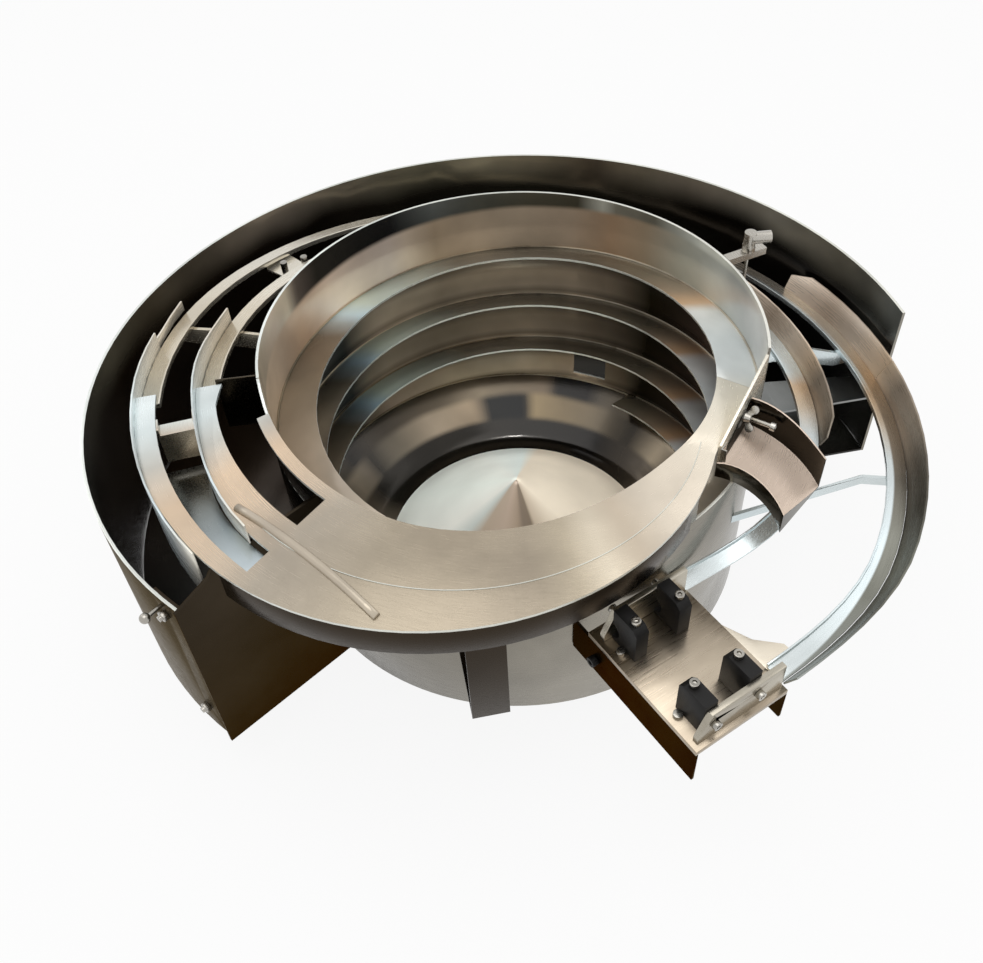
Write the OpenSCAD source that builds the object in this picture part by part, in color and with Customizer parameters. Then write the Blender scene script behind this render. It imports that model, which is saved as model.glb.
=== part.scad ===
// Vibratory bowl feeder: a stainless bowl with a helical track that climbs its wall,
// runs out over a front deck, splits into two outside lanes and ends on a discharge plate,
// all inside a return pan that sends rejected pieces back into the bowl.
//
// Places round the bowl are given by a travel angle: 0 is the front, and it grows the way
// the pieces travel, clockwise seen from above (90 left, 180 back, 270 right).

/* [Bowl] */
// Inner radius of the bowl wall
bowl_r = 250; // [225:1:280]
// Depth from the lip to the lowest ring of the floor
bowl_depth = 328; // [315:1:345]
// Thickness of the bowl, deck and pan sheet
sheet_t = 3; // [2:0.5:4]
// Rise of the floor cone from its foot to its tip
cone_h = 112; // [60:1:120]
// Radius of the foot of the floor cone
cone_r = 158; // [140:1:166]
// Height of the sloping dish between the floor ring and the wall
dish_h = 50; // [40:1:54]
// Thickness of the clamping ring below the bowl
ring_t = 12; // [8:1:20]
// Outer radius of the clamping ring
ring_r = 182; // [172:1:200]
// Inner radius of the clamping ring
ring_bore_r = 120; // [100:1:135]
// Number of tapped holes in the clamping ring
ring_holes = 6; // [4:1:8]
// Radius of each tapped hole
ring_hole_r = 5; // [4:0.5:6]
// Radius of the circle that the tapped holes lie on
ring_hole_pitch_r = 152; // [146:1:158]

/* [Track] */
// Width of the helical ledge
track_w = 44; // [36:1:50]
// Rise of the ledge in one turn
track_pitch = 69; // [62:1:74]
// Height of the inner edge of the ledge above its edge at the wall
track_bank = 15; // [8:1:18]
// Drop from the lip to the ledge at the back of the bowl
track_drop = 75; // [70:1:80]

/* [Return window] */
// Travel angle of the middle of the window
window_s = 204; // [200:1:212]
// Width of the window
window_w = 44; // [30:1:56]
// Height of the window
window_h = 46; // [34:1:50]

/* [Gate and dump chute] */
// Travel angle at which the gate starts
gate_s = 280; // [278:1:282]
// Sweep angle of the gate
gate_sweep = 26; // [24:1:28]
// How far the far end of the gate stands inside the wall
gate_step = 19; // [14:1:22]
// Height of the gate below its top edge at the wall
gate_h = 60; // [52:1:64]
// Fall of the top edge of the gate along its length
gate_fall = 36; // [28:1:40]
// Thickness of the chute sheet
chute_t = 2; // [1.5:0.5:3]
// Radius of the back wall of the chute
chute_back_r = 105; // [100:1:110]
// Radius of the front wall of the chute
chute_front_r = 58; // [54:1:62]
// Fall of the chute floor to its mouth
chute_fall = 22; // [14:1:28]
// Radius of the gate screw
gate_screw_r = 2.5; // [2:0.5:3]
// Length of the gate screw
gate_screw_l = 30; // [26:1:34]

/* [Deck] */
// Travel angle at which the slots open
slot_s = 40; // [36:1:44]
// Travel angle at which the two lane fingers end
finger_s = 82.5; // [76:0.5:86]
// How far the outer arc of the deck is set off from the bowl axis
deck_shift = 98; // [94:1:102]
// How far the bend arc of the deck is set off from the bowl axis
bend_shift = 82; // [78:1:86]
// Width of the narrow band that stays beside the wall
band_w = 12; // [8:1:16]
// Height of the skirt below the edge of the deck
skirt_h = 30; // [20:1:36]
// Height of the baffle that closes the inner slot
baffle_h = 64; // [40:1:80]
// Radius of the half-round deflector
deflector_r = 4; // [3:0.5:5]

/* [Lanes] */
// Gap between the bowl wall and the inner lane
inner_gap = 44; // [40:1:48]
// Width of the inner lane
inner_w = 19; // [16:1:22]
// Gap between the two lanes on the left
outer_gap = 40; // [36:1:42]
// Width of the outer lane
outer_w = 20; // [17:1:22]
// How far the outer lane moves outwards on its way round
outer_spread = 32; // [26:1:34]
// Thickness of the lane and guard sheet
lane_t = 2; // [1.5:0.5:2.5]
// Drop from the lip to the start of the lanes
lane_drop = 41; // [38:1:46]
// Height of the leaning guards on the right
guard_h = 20; // [14:1:24]
// Lean of those guards from foot to top
guard_lean = 11; // [6:1:13]
// Height of the upright guards above the deck on the left
low_guard_h = 8; // [6:1:12]
// Depth of the skirt that the outer one of them forms below the deck
side_skirt_h = 58; // [40:1:66]
// Height of the flat bars that carry the lanes
tie_h = 20; // [14:1:26]
// Thickness of the flat bars that carry the lanes
tie_t = 4; // [3:0.5:6]

/* [Pan] */
// Gap between the widest turn of the outer lane and the pan wall
pan_gap = 32; // [26:1:42]
// Sideways offset of the pan from the bowl axis
pan_shift = 9; // [6:1:11]
// How much tighter the wall curves at the front left
pan_tighter = 50; // [44:1:54]
// Drop from the lip to the top of the pan wall
pan_drop = 60; // [54:1:64]
// Height of the pan wall
pan_h = 210; // [206:1:216]
// Travel angle of the right end of the pan
pan_end_s = 260; // [258:1:262]
// Travel angle of the end plate at the front left
end_plate_s = 46; // [45:0.5:47]
// Depth of the end plate below the pan floor
end_plate_below = 6; // [2:1:10]
// Drop from the lip to the shelf at the right end
shelf_drop = 185; // [176:1:200]

/* [Discharge plate] */
// Travel angle that the discharge plate faces
tool_s = 327; // [326:0.5:328]
// Drop from the lip to the top of the plate
tool_drop = 138; // [134:1:144]
// Thickness of the plate
tool_t = 6; // [4:1:8]
// Length of the plate along the rails
tool_l = 104; // [100:1:110]
// Distance from the bowl wall to the outer edge of the plate
tool_reach = 153; // [151:1:159]
// Depth of the side plates under it
tool_side_h = 42; // [30:1:50]
// Distance from the bowl wall to the far rail
far_rail_gap = 16; // [13:1:21]
// Distance from the bowl wall to the near rail
near_rail_gap = 142; // [139:1:145]
// Length of each rail along its top
rail_l = 83; // [76:1:86]
// Height of each rail
rail_h = 35; // [28:1:38]
// Thickness of each rail
rail_t = 6; // [4:0.5:6]
// Width of each clamp block
block_w = 14; // [12:1:16]
// Depth of each clamp block
block_d = 32; // [28:1:36]
// Height of each clamp block
block_h = 41; // [39:1:46]
// Radius of the relief in each far block
relief_r = 9; // [6:0.5:10]
// Radius of the clamp screws
screw_r = 2.5; // [2:0.5:3]

/* [Air jet] */
// Travel angle of the air bar
air_s = 245.5; // [243:0.5:248]
// Length of the air bar
air_bar_l = 48; // [40:1:52]
// Radius of the body of the push-in elbow
elbow_r = 6.5; // [5.5:0.5:7]
// Radius of the hose that the elbow takes
hose_r = 3; // [2:0.5:3]

/* [Hidden] */
$fn = 96;

// Clearance left between welded or clamped pieces
seat = 0.2;
// Overlap that makes the pieces of one cut or one solid run into each other
eps = 1;

wall_out_r = bowl_r + sheet_t;
lip_z = ring_t + sheet_t + bowl_depth;
floor_z = ring_t + sheet_t;
track_in_r = bowl_r - track_w;
rim_z = floor_z + dish_h;
gate_end_s = gate_s + gate_sweep;
gate_end_r = bowl_r - gate_step;

// Depth of the step in the bowl wall under the deck, and the travel angle at which it ends
lip_step = 74;
lip_start_s = 77;

inner_r = wall_out_r + inner_gap;
inner_out_r = inner_r + inner_w;
outer_r = inner_out_r + outer_gap;
outer_out_r = outer_r + outer_w;
lane_z = lip_z - lane_drop;
tool_z = lip_z - tool_drop;
lane_end_z = tool_z + lane_t;
lane_end_s = tool_s - 1.3;

far_rail = wall_out_r + far_rail_gap;
near_rail = wall_out_r + near_rail_gap;
tool_edge = wall_out_r + tool_reach;

pan_r = outer_out_r + outer_spread + pan_gap;
pan_turn = 156;
pan_top = lip_z - pan_drop;
pan_bottom = pan_top - pan_h;
pan_x = -pan_shift;

// ---------------------------------------------------------------- helpers

function mix(a, b, t) = a + (b - a) * t;
function clamp01(t) = max(0, min(1, t));
function ease(t) = let (u = clamp01(t)) u * u * (3 - 2 * u);
function at(s, r, z) = [-r * sin(s), -r * cos(s), z];

// Radius at travel angle s of a circle of radius r set off by shift towards angle towards
function offset_circle(s, r, shift, towards) =
    shift * cos(s - towards) + sqrt(r * r - pow(shift * sin(s - towards), 2));

// Closed skin over rows of points, each row one cross-section
module skin(rows) {
    n = len(rows[0]);
    last = len(rows) - 1;
    sides = [
        for (i = [0:last - 1], j = [0:n - 1])
            let (a = i * n + j, b = i * n + (j + 1) % n)
            each [[a, b + n, b], [a, a + n, b + n]]
    ];
    caps = [[for (j = [0:n - 1]) j], [for (j = [n - 1:-1:0]) last * n + j]];
    polyhedron([for (row = rows) each row], concat(caps, sides), convexity = 10);
}

// Sweeps a cross-section of [radius, height] points round the bowl axis
module swept(from, to, step, section) {
    steps = ceil((to - from) / step);
    skin([
        for (i = [0:steps])
            let (s = mix(from, to, i / steps))
            [for (p = section(s)) at(s, p[0], p[1])]
    ]);
}

// Sheet over a grid of points on its upper face, with the cells left out where has(i, j) is false
module grid_sheet(rows, thick, has) {
    n = len(rows[0]);
    m = len(rows);
    low = n * m;
    function is_cell(i, j) = i >= 0 && j >= 0 && i < m - 1 && j < n - 1 && has(i, j);
    function wall(p, q) = [[p, q, q + low], [p, q + low, p + low]];
    top = [for (row = rows) each row];
    faces = [
        for (i = [0:m - 2], j = [0:n - 2]) if (is_cell(i, j))
            let (a = i * n + j, b = a + 1, d = a + n, e = d + 1) each concat(
                [[a, b, d], [b, e, d]],
                [[a + low, d + low, b + low], [b + low, d + low, e + low]],
                is_cell(i, j - 1) ? [] : wall(a, d),
                is_cell(i, j + 1) ? [] : wall(e, b),
                is_cell(i - 1, j) ? [] : wall(b, a),
                is_cell(i + 1, j) ? [] : wall(d, e)
            )
    ];
    polyhedron(concat(top, [for (p = top) p - [0, 0, thick]]), faces, convexity = 10);
}

// Turns a piece drawn with x outwards and y against the travel to travel angle s
module around(s) rotate([0, 0, -90 - s]) children();

// Upright plate on the radius at travel angle s, drawn as [radius, height] points
module radial_plate(s, thick, outline, shift = 0) {
    around(s) translate([0, shift + thick / 2, 0]) rotate([90, 0, 0])
        linear_extrude(thick) polygon(outline);
}

// Ring sector between two travel angles
module ring_sector(from, to, r_in, r_out, low, high) {
    around(to) translate([0, 0, low])
        rotate_extrude(angle = to - from) translate([r_in, 0]) square([r_out - r_in, high - low]);
}

// Cap screw with its head above z = 0 and its shank below
module cap_screw(r, shank) {
    difference() {
        cylinder(h = 2 * r, r = 1.75 * r, $fn = 32);
        translate([0, 0, r]) cylinder(h = r + eps, r = 0.95 * r, $fn = 6);
    }
    translate([0, 0, -shank]) cylinder(h = shank + 0.5, r = r, $fn = 32);
}

// ---------------------------------------------------------------- bowl

module clamping_ring() {
    color("gray") difference() {
        cylinder(h = ring_t, r = ring_r);
        translate([0, 0, -eps]) cylinder(h = ring_t + 2 * eps, r = ring_bore_r);
        for (i = [0:ring_holes - 1])
            rotate([0, 0, 360 / ring_holes * i]) translate([ring_hole_pitch_r, 0, -eps])
                cylinder(h = ring_t + 2 * eps, r = ring_hole_r, $fn = 32);
    }
}

// Spun floor: a central cone, a narrow flat ring and a dish that rises to the wall
module bowl_floor() {
    flat_r = cone_r + 20;
    rim_r = bowl_r - seat;
    tip_z = floor_z + cone_h;
    color("silver") rotate_extrude() polygon([
        [0, tip_z], [cone_r, floor_z], [flat_r, floor_z], [rim_r, rim_z],
        [rim_r, rim_z - sheet_t], [flat_r + 1, floor_z - sheet_t],
        [cone_r - 1, floor_z - sheet_t], [0, tip_z - sheet_t]
    ]);
}

// Rolled wall with the return window; it keeps its full height from the lead-in round to the gate
module bowl_wall() {
    foot = rim_z - 12;
    color("silver") difference() {
        translate([0, 0, foot]) cylinder(h = lip_z - foot, r = wall_out_r);
        translate([0, 0, foot - eps]) cylinder(h = lip_z - foot + 2 * eps, r = bowl_r);
        ring_sector(gate_s, 360 + lip_start_s, bowl_r - 10, wall_out_r + 10,
                    lip_z - lip_step, lip_z + eps);
        around(window_s) translate([bowl_r - 10, -window_w / 2, pan_bottom + sheet_t])
            cube([30, window_w, window_h]);
    }
}

// Upper strip of the wall under the deck, which climbs back to the lip on the left
function riser_top(s) =
    mix(deck_z(s, wall_out_r) - sheet_t - seat, lip_z, ease((s - 428) / (360 + lip_start_s - 428)));
module wall_riser() {
    base = lip_z - lip_step + seat;
    color("silver") swept(320, 360 + lip_start_s - seat, 3, function (s) [
        [bowl_r, base], [bowl_r, riser_top(s)], [wall_out_r, riser_top(s)], [wall_out_r, base]
    ]);
}

// Helical ledge that the pieces climb, banked so that they lean against the wall
function track_z(s) = lip_z - track_drop + track_pitch * (s - 180) / 360;
track_from = 180 + (rim_z + sheet_t + seat - lip_z + track_drop) * 360 / track_pitch;
module spiral_track() {
    color("silver") swept(track_from, gate_s, 5, function (s) [
        [track_in_r, track_z(s) + track_bank], [bowl_r - seat, track_z(s)],
        [bowl_r - seat, track_z(s) - sheet_t], [track_in_r, track_z(s) + track_bank - sheet_t]
    ]);
}

// ---------------------------------------------------------------- deck

deck_from = gate_s + 0.1;
slot_at = 360 + slot_s;
band_at = slot_at + 28;
// Travel angles towards which the outer arc and the bend arc are set off
deck_turn = 53;
bend_turn = 40.5;
finger_at = 360 + finger_s;
deck_arc_r = outer_out_r - 2 - deck_shift;
bend_arc_r = inner_out_r + 2 - bend_shift;

function deck_in_r(s) = mix(track_in_r, bowl_r, ease((s - 312) / 78));
gate_a = at(gate_s, bowl_r, 0);
gate_b = at(gate_end_s, gate_end_r, 0);
gate_out = [gate_a[1] - gate_b[1], gate_b[0] - gate_a[0], 0] / norm(gate_b - gate_a);
function gate_r(s) = (gate_a * gate_out - 2 * seat) / (at(s, 1, 0) * gate_out);
function deck_out_r(s) =
    s < gate_end_s ? gate_r(s)
    : s > 360 + deck_turn ? outer_out_r - 2 * (1 - ease((s - 360 - deck_turn) / 8))
    : min(outer_out_r, max(gate_end_r - 2 * seat, offset_circle(s, deck_arc_r, deck_shift, deck_turn)));
function deck_bend_r(s) =
    s < gate_end_s ? mix(bowl_r - 26, gate_end_r - 15, (s - gate_s) / gate_sweep)
    : offset_circle(s, bend_arc_r, bend_shift, bend_turn);
function deck_in_z(s) = track_z(s) + track_bank;
function deck_share(s) = clamp01((s - gate_end_s) / (slot_at + 4 - gate_end_s));
function deck_out_z(s) =
    s < gate_end_s ? track_z(s) + track_bank * (bowl_r - deck_out_r(s)) / track_w
    : mix(lip_z - 45, lip_z - 26, deck_share(s));
function deck_bend_z(s) =
    s < gate_end_s ? track_z(s) + track_bank * (bowl_r - deck_bend_r(s)) / track_w
    : mix(lip_z - 40, lip_z - 22, deck_share(s));
function deck_z(s, r) =
    r < deck_bend_r(s)
        ? mix(deck_in_z(s), deck_bend_z(s), (r - deck_in_r(s)) / (deck_bend_r(s) - deck_in_r(s)))
        : mix(deck_bend_z(s), deck_out_z(s),
              (r - deck_bend_r(s)) / (deck_out_r(s) - deck_bend_r(s)));

// Outer edge of the inner finger, which draws in to the width of the inner lane
function finger_edge_r(s) = mix(inner_out_r + 14, inner_out_r, ease((s - slot_at) / 36));

// Radii of the grid lines of the deck at travel angle s: inner edge, band, finger, bend,
// finger, outer finger and outer edge
function share_at(low, x, high) = (x - low) / (high - low);
function deck_lines(s) = let (
        in = deck_in_r(s), bend = deck_bend_r(s), out = deck_out_r(s),
        slot_bend = deck_bend_r(slot_at), slot_out = deck_out_r(slot_at),
        band = share_at(deck_in_r(slot_at), bowl_r + band_w, slot_bend),
        finger = share_at(deck_in_r(slot_at), inner_r, slot_bend),
        edge = share_at(slot_bend, finger_edge_r(slot_at), slot_out),
        outer = share_at(slot_bend, outer_r, slot_out)
    )
    s < slot_at - 0.01
        ? [in, mix(in, bend, band), mix(in, bend, finger), bend,
           mix(bend, out, edge), mix(bend, out, outer), out]
        : [in, bowl_r + band_w, inner_r, min(bend, finger_edge_r(s) - 5),
           finger_edge_r(s), outer_r, out];

// Polished sheet that widens out of the track, folded once, and ends in a band and two fingers
module front_deck() {
    sheet_steps = 40;
    slot_steps = 10;
    end_steps = 5;
    stations = concat(
        [for (i = [0:sheet_steps]) mix(deck_from, slot_at, i / sheet_steps)],
        [for (i = [1:slot_steps]) mix(slot_at, band_at, i / slot_steps)],
        [for (i = [1:end_steps]) mix(band_at, finger_at, i / end_steps)]
    );
    color("wheat") grid_sheet(
        [for (s = stations) [for (r = deck_lines(s)) at(s, r, deck_z(s, r))]],
        sheet_t,
        function (i, j)
            i < sheet_steps || (j != 1 && j != 4 && (j > 0 || i < sheet_steps + slot_steps))
    );
}

// Upright skirt welded under the edge of the deck
module deck_skirt() {
    color("dimgray") swept(gate_end_s + 17, slot_at + 3, 3, function (s)
        let (r = max(deck_out_r(s), wall_out_r + lane_t + seat), top = deck_out_z(s) - sheet_t - seat)
        [[r - lane_t, top], [r, top], [r, top - skirt_h], [r - lane_t, top - skirt_h]]
    );
}

// Upright plate on the radius that closes the end of the inner slot
module slot_baffle() {
    top = lip_z - 19;
    color("silver") radial_plate(finger_s + 0.7, lane_t, [
        [wall_out_r + seat, top - baffle_h], [inner_r - seat, top - baffle_h],
        [inner_r - seat, top], [wall_out_r + seat, top]
    ]);
}

// Sheet under the outer slot that falls away from the deck and sheds what drops through
module slot_ramp() {
    from = slot_s - 1;
    to = finger_s - 8.8;
    top = lip_z - 28 - sheet_t;
    color("silver") swept(from, to, 3, function (s) let (
            r_in = finger_edge_r(s + 360) + lane_t + 3 * seat, r_out = outer_r + 10,
            h = top - 52 * pow(max(0, s - slot_s - 1) / (to - slot_s), 1.5)
        )
        [[r_in, h], [r_out, h], [r_out, h - lane_t], [r_in, h - lane_t]]
    );
}

// Half-round strip, bent a little, that turns the outer pieces away from the edge
module deflector_strip() {
    steps = 12;
    sag = 4;
    tip = at(380, inner_out_r + 26, 0);
    start = at(slot_at + 10.5, inner_out_r + 4, 0);
    run = start - tip;
    inward = [run[1], -run[0], 0] / norm(run);
    color("silver") skin([for (i = [0:steps]) let (
            t = i / steps, mid = mix(tip, start, t) + inward * sag * 4 * t * (1 - t)
        ) [for (turn = [0:30:180]) let (
                p = mid + inward * deflector_r * cos(turn),
                s = 360 + atan2(-p[0], -p[1])
            )
            [p[0], p[1], deck_z(s, norm(p)) + seat + deflector_r * sin(turn)]
        ]]);
}

// Angle that carries the front of the deck from the bowl wall
module deck_bracket() {
    reach = deck_arc_r - lane_t - 4 * seat;
    width = 35;
    low = lip_z - 178;
    high = deck_out_z(362) - sheet_t - 4 * seat;
    centre = at(deck_turn, deck_shift, 0);
    color("dimgray") difference() {
        translate(centre) rotate([0, 0, -80]) union() {
            translate([reach - sheet_t, -width / 2, low]) cube([sheet_t, width, high - low]);
            translate([reach - 90, -width / 2, low]) cube([90 - eps, width, sheet_t]);
        }
        cylinder(h = lip_z, r = wall_out_r + seat);
    }
}

// ---------------------------------------------------------------- gate and chute

gate_top = lip_z - 6;
gate_run = gate_b - gate_a;
gate_turn = atan2(gate_run[1], gate_run[0]);
gate_len = norm(gate_run);
gate_hole_x = gate_len - 60;
gate_hole_z = gate_top - 42;

// Stands a piece on the line of the gate: x along it, y away from the bowl
module on_gate() translate(gate_a) rotate([0, 0, gate_turn]) children();

// Flat plate that closes the opening in the wall above the chute
module dump_gate() {
    low = gate_top - gate_h;
    color("silver") difference() {
        on_gate() translate([seat, sheet_t, 0]) rotate([90, 0, 0]) linear_extrude(sheet_t)
            polygon([
                [2, low], [gate_len - 6, low], [gate_len - 6, gate_top - gate_fall], [2, gate_top]
            ]);
        gate_bore(gate_screw_r + seat);
    }
}
module gate_bore(r) on_gate() translate([gate_hole_x, -20, gate_hole_z]) rotate([-90, 0, 0])
    cylinder(h = 60, r = r, $fn = 32);

// Small folded clip that holds the far end of the gate
module gate_clip() {
    color("white") on_gate() translate([gate_len - 15, sheet_t + seat, gate_top - gate_fall - 16])
        difference() {
            cube([12, 6, 15]);
            translate([-eps, 1.5, -eps]) cube([10.5 + eps, 6, 17]);
        }
}

// Cap screw through the gate, head outwards
module gate_screw() {
    color("silver") on_gate() translate([gate_hole_x, gate_screw_l, gate_hole_z])
        rotate([-90, 0, 0]) cap_screw(gate_screw_r, gate_screw_l - seat);
}

// Wing nut that clamps the gate
module wing_nut() {
    bore = gate_screw_r + seat;
    color("silver") on_gate() translate([gate_hole_x, sheet_t + seat, gate_hole_z])
        rotate([-90, 0, 0]) difference() {
            union() {
                cylinder(h = 7, r1 = 5.5, r2 = 4, $fn = 32);
                for (side = [0, 180]) rotate([0, 0, 62 + side]) wing();
            }
            translate([0, 0, -eps]) cylinder(h = 12, r = bore, $fn = 32);
        }
}
module wing() translate([0, 1, 0]) rotate([90, 0, 0]) linear_extrude(2) union() {
    polygon([[3, 0.5], [9, 4], [7, 10.5], [2.6, 6]]);
    translate([9.5, 8]) circle(r = 4.2, $fn = 32);
}

// Curved open chute, folded from one sheet, that takes what falls over the gate
function arc_pt(c, r, a) = [c[0] + r * cos(a), c[1] + r * sin(a), 0];
chute_back_c = [gate_b[0], gate_b[1] - 39];
chute_front_c = [gate_b[0] - 5, gate_b[1] - 68];
module dump_chute() {
    steps = 12;
    color("dimgray") skin([for (i = [0:steps]) let (
            t = i / steps,
            back = arc_pt(chute_back_c, chute_back_r, mix(66.5, 16, t)),
            front = arc_pt(chute_front_c, chute_front_r, mix(86, 4, t)),
            wall = (back - front) / norm(back - front) * chute_t,
            floor_h = lip_z - 64 - chute_fall * t,
            back_top = [0, 0, lip_z - mix(31, 50, ease(t))],
            front_top = [0, 0, lip_z - mix(50, 66, ease(t))]
        ) [
            front + [0, 0, floor_h - 2 - chute_t], front + front_top,
            front + wall + front_top, front + wall + [0, 0, floor_h - 2],
            back - wall + [0, 0, floor_h], back - wall + back_top,
            back + back_top, back + [0, 0, floor_h - chute_t]
        ]]);
}

// ---------------------------------------------------------------- lanes

// Inner lane: level start, a long easy fall, then a last fall inwards to the far rail
function inner_z(s) =
    lane_z - (lane_z - lane_end_z) * (0.69 * ease((s - 85) / 165) + 0.31 * ease((s - 282) / 40));
function inner_edge_r(s) =
    mix(inner_out_r, far_rail + rail_t - 1, ease((s - 290) / (lane_end_s - 290)));
// Outer lane: it falls faster and moves outwards behind the bowl
function outer_z(s) = mix(lane_z - 1, lane_end_z, ease((s - 85) / 150));
function outer_edge_r(s) =
    outer_out_r + outer_spread * ease((s - 125) / 105)
    - (outer_out_r + outer_spread - near_rail - rail_t / 2) * ease((s - 300) / (lane_end_s - 300));

module lane(edge_r, z, width) {
    lip = 4;
    swept(finger_s + 0.2, lane_end_s, 4, function (s) let (r = edge_r(s), h = z(s)) [
        [r - width, h + lip], [r - width + lane_t, h + lip], [r - width + lane_t, h],
        [r, h], [r, h - lane_t], [r - width, h - lane_t]
    ]);
}
module inner_lane() color("cornsilk") lane(
    function (s) inner_edge_r(s), function (s) inner_z(s), inner_w
);
module outer_lane() color("cornsilk") lane(
    function (s) outer_edge_r(s), function (s) outer_z(s), outer_w
);

// Upright guard beside the fingers and the first of the lanes
module upright_guard(from, to, r, low, high) {
    swept(from, to, 4, function (s) [
        [r(s), low(s)], [r(s), high(s)], [r(s) + lane_t, high(s)], [r(s) + lane_t, low(s)]
    ]);
}
function guard_low(s, lane_height, skirt_low) =
    mix(skirt_low, lane_height - lane_t, ease((s - finger_s) / 5));
module inner_front_guard() color("white") upright_guard(
    slot_s + 5, finger_s + 24,
    function (s) (s < finger_s ? finger_edge_r(s + 360) : inner_out_r) + 1.5 * seat,
    function (s) guard_low(s, inner_z(s), lip_z - 36),
    function (s) lip_z - 20 + low_guard_h - 14 * ease((s - finger_s) / 24)
);
module outer_front_guard() color("white") upright_guard(
    slot_s + 7, finger_s + 15,
    function (s) outer_out_r + seat,
    function (s) guard_low(s, outer_z(s), lip_z - 26 - side_skirt_h),
    function (s) lip_z - 26 + low_guard_h - 8 * ease((s - finger_s) / 24)
);
module outer_side_guard() color("white") upright_guard(
    finger_s + 6, finger_s + 26,
    function (s) outer_out_r + lane_t + 2 * seat + 4 * ease((s - finger_s - 16) / 10),
    function (s) outer_z(s) - lane_t,
    function (s) lip_z - 24 - 14 * ease((s - finger_s) / 24)
);

// Guard that leans outwards from the edge of a lane
module leaning_guard(from, to, edge_r, z, grow) {
    swept(from, to, 4, function (s) let (
            r = edge_r(s) + seat, h = z(s), g = grow(s)
        ) [
            [r, h - lane_t], [r + guard_lean * g, h + guard_h * g],
            [r + lane_t + guard_lean * g, h + guard_h * g], [r + lane_t, h - lane_t]
        ]);
}
module inner_rear_guard() color("cornsilk") leaning_guard(
    200, 283, function (s) inner_edge_r(s), function (s) inner_z(s),
    function (s) 0.45 + 0.55 * ease((s - 200) / 12) * ease((284 - s) / 6)
);
module outer_fan_guard() color("silver") leaning_guard(
    236, 262, function (s) outer_edge_r(s), function (s) outer_z(s),
    function (s) 0.3 + 0.9 * ease((s - 233) / 6)
);
module outer_right_guard() color("silver") leaning_guard(
    262.1, lane_end_s, function (s) outer_edge_r(s), function (s) outer_z(s),
    function (s) mix(1.2, 1, ease((s - 300) / 20))
);

// Folded bridge between the two lanes just past the fingers
module lane_bridge() {
    s = finger_s - 7;
    in_r = finger_edge_r(s + 360) + lane_t + 2 * seat;
    top = lip_z - 34;
    width = 16;
    drop = 36;
    color("silver") around(s) {
        translate([in_r, -width / 2, top - lane_t]) cube([outer_r - seat - in_r, width, lane_t]);
        translate([in_r, width / 2 - lane_t, top - drop])
            cube([outer_r - seat - in_r, lane_t, drop]);
        translate([in_r, -width / 2, top - lane_t]) cube([lane_t, width, 14]);
        translate([outer_r - seat - lane_t, -width / 2, top - lane_t]) cube([lane_t, width, 10]);
    }
}

// Flat plate that joins the two lanes at the back left, with its hanging bars
rear_s = 130;
rear_z = outer_z(rear_s + 3.5) - lane_t - seat;
module rear_bracket() {
    in_r = inner_r + 2;
    out_r = outer_edge_r(rear_s) - 2;
    half_in = 14;
    half_out = 10;
    color("wheat") around(rear_s) {
        translate([0, 0, rear_z - sheet_t]) linear_extrude(sheet_t) polygon([
            [in_r, -half_in], [out_r - 16, -half_in - 4], [out_r, -half_out],
            [out_r, half_out], [out_r - 16, half_in + 4], [in_r, half_in]
        ]);
        translate([in_r, -tie_t / 2, rear_z - sheet_t - tie_h])
            cube([tie_t, tie_t, tie_h]);
    }
}
module rear_bracket_pins() {
    color("gray") around(rear_s) for (y = [-11, 11])
        translate([inner_out_r + 12 + y / 2, y, rear_z + seat])
            cylinder(h = 16, r = 4, $fn = 32);
}

// Flat bars on edge that carry the two lanes from the bowl wall
tie_places = [104, 156, 190, 222, 254];
module lane_ties() {
    color("silver") for (s = tie_places) {
        in_under = inner_z(s + 0.5) - lane_t - seat;
        out_under = outer_z(s + 0.5) - lane_t - seat;
        radial_plate(s, tie_t, [
            [wall_out_r + seat, in_under - tie_h], [inner_r + inner_w / 2, in_under - tie_h],
            [outer_edge_r(s) - outer_w, out_under - tie_h], [outer_edge_r(s) - 2, out_under - tie_h],
            [outer_edge_r(s) - 2, out_under], [outer_edge_r(s) - outer_w - 2, out_under],
            [inner_out_r + 4, in_under], [wall_out_r + seat, in_under]
        ]);
    }
}

// Bent flat bar that carries the outer lane at the front right
strut_top = tool_z - 2 * seat;
module lane_strut() {
    foot = at(303, wall_out_r - 4, 0);
    knee = at(284, outer_edge_r(284) - 43, 0);
    tip = at(283.5, outer_edge_r(283.5) - 6, 0);
    color("silver") difference() {
        union() {
            strut_leg(foot, knee);
            strut_leg(knee, tip);
        }
        cylinder(h = lip_z, r = wall_out_r + seat);
    }
}
module strut_leg(from, to) {
    run = to - from;
    translate([from[0], from[1], strut_top - tie_h / 2]) rotate([0, 0, atan2(run[1], run[0])])
        translate([0, -tie_t / 2, 0]) cube([norm(run), tie_t, tie_h / 2]);
}

// ---------------------------------------------------------------- pan

pan_c1 = [pan_x, 0];
pan_c2 = [pan_x + pan_tighter * cos(pan_turn), pan_tighter * sin(pan_turn)];

function arc_points(c, r, from, to, steps) = [
    for (i = [0:steps]) let (a = mix(from, to, i / steps)) [c[0] + r * cos(a), c[1] + r * sin(a)]
];
// Turn about centre c at which a circle of radius r meets the ray at travel angle s
function turn_on(c, r, s) = let (ray = 270 - s)
    ray + asin((c[0] * sin(ray) - c[1] * cos(ray)) / r);
function turned_back(list) = [for (i = [len(list) - 1:-1:0]) list[i]];

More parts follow.
